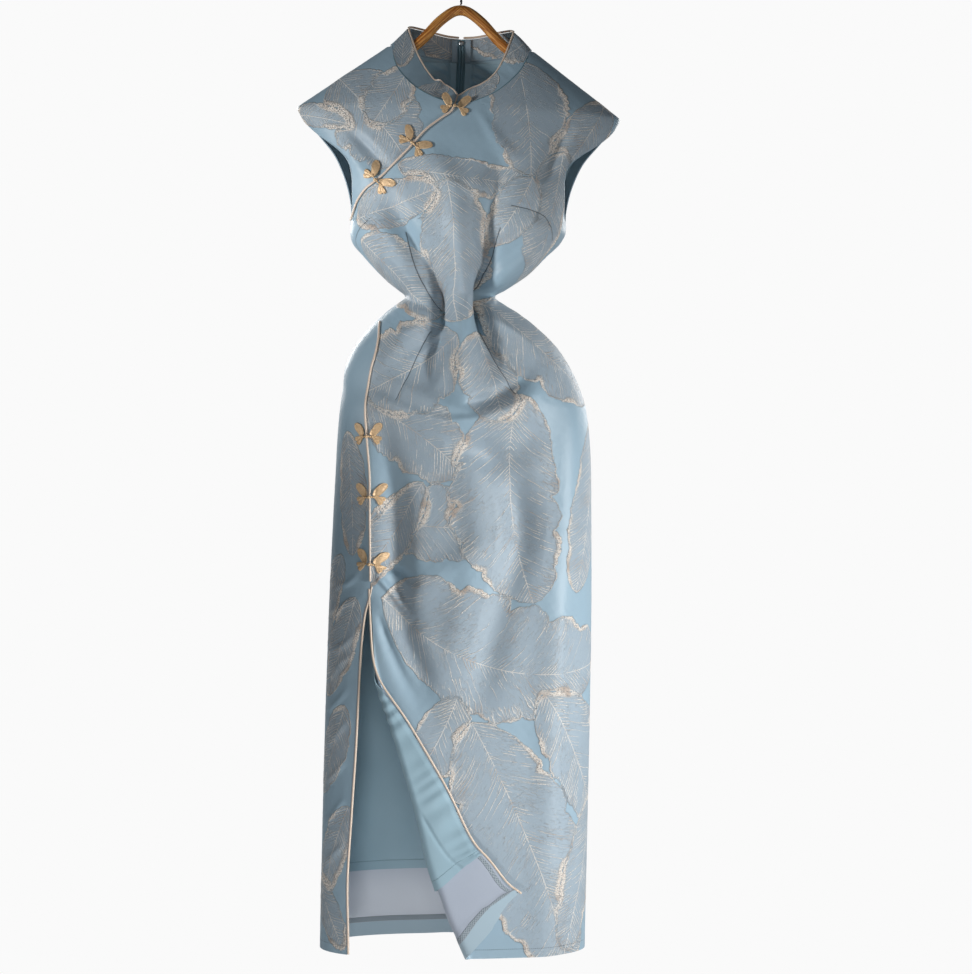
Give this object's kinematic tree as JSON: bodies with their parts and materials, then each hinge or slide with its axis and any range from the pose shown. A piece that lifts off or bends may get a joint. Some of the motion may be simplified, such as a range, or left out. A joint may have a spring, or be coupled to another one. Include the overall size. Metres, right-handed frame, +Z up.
{
  "type": "cheongsam dress on a wooden hanger",
  "caption": "Long cap-sleeved cheongsam hanging from a wooden hanger, waist drawn in, side slit folded open, butterfly fastenings along the overlap and side seam.",
  "frame": {"origin": "inside crest of the hanger's wire hook, where it bears on a rail", "axes": "+Z up, +Y from the dress's front to its back, +X to the viewer's right (the wearer's left)"},
  "size_m": [0.4008, 0.1688, 1.2741],
  "materials": {
    "jacquard": "pale blue satin jacquard with leaf motifs outlined in beige silver thread",
    "lining": "teal satin",
    "piping": "cream satin",
    "antique_gold": "antique gold",
    "zip_tape": "woven tape",
    "zip_metal": "nickel plate",
    "wood": "clear varnish",
    "steel": "polished wire"
  },
  "bodies": {
    "dress": {"front_panel": "jacquard", "front_shoulder": "jacquard", "back_left": "jacquard", "back_right": "jacquard", "collar_left": "jacquard", "collar_right": "jacquard", "collar_piping_left": "piping", "collar_piping_right": "piping", "diagonal_piping": "piping", "side_piping": "piping", "slit_piping_front": "piping", "slit_piping_back": "piping", "frog_1_left": "antique_gold", "frog_1_right": "antique_gold", "frog_2_left": "antique_gold", "frog_2_right": "antique_gold", "frog_3_left": "antique_gold", "frog_3_right": "antique_gold", "frog_4_left": "antique_gold", "frog_4_right": "antique_gold", "frog_5_left": "antique_gold", "frog_5_right": "antique_gold", "frog_6_left": "antique_gold", "frog_6_right": "antique_gold", "lining_front": "lining", "lining_back": "lining", "lining_bodice": "lining", "zip_tape": "zip_tape", "zip_slider": "zip_metal", "hanger_arms": "wood", "hanger_hook": "steel"},
    "zip_pull": {"zip_pull": "zip_metal"}
  },
  "joints": [
    {"name": "pull_tab_hinge", "type": "hinge", "parent": "dress", "child": "zip_pull", "pos_m": [0, 0.03181, -0.12069], "axis": [1, 0, 0], "range_deg": [0, 165]}
  ]
}
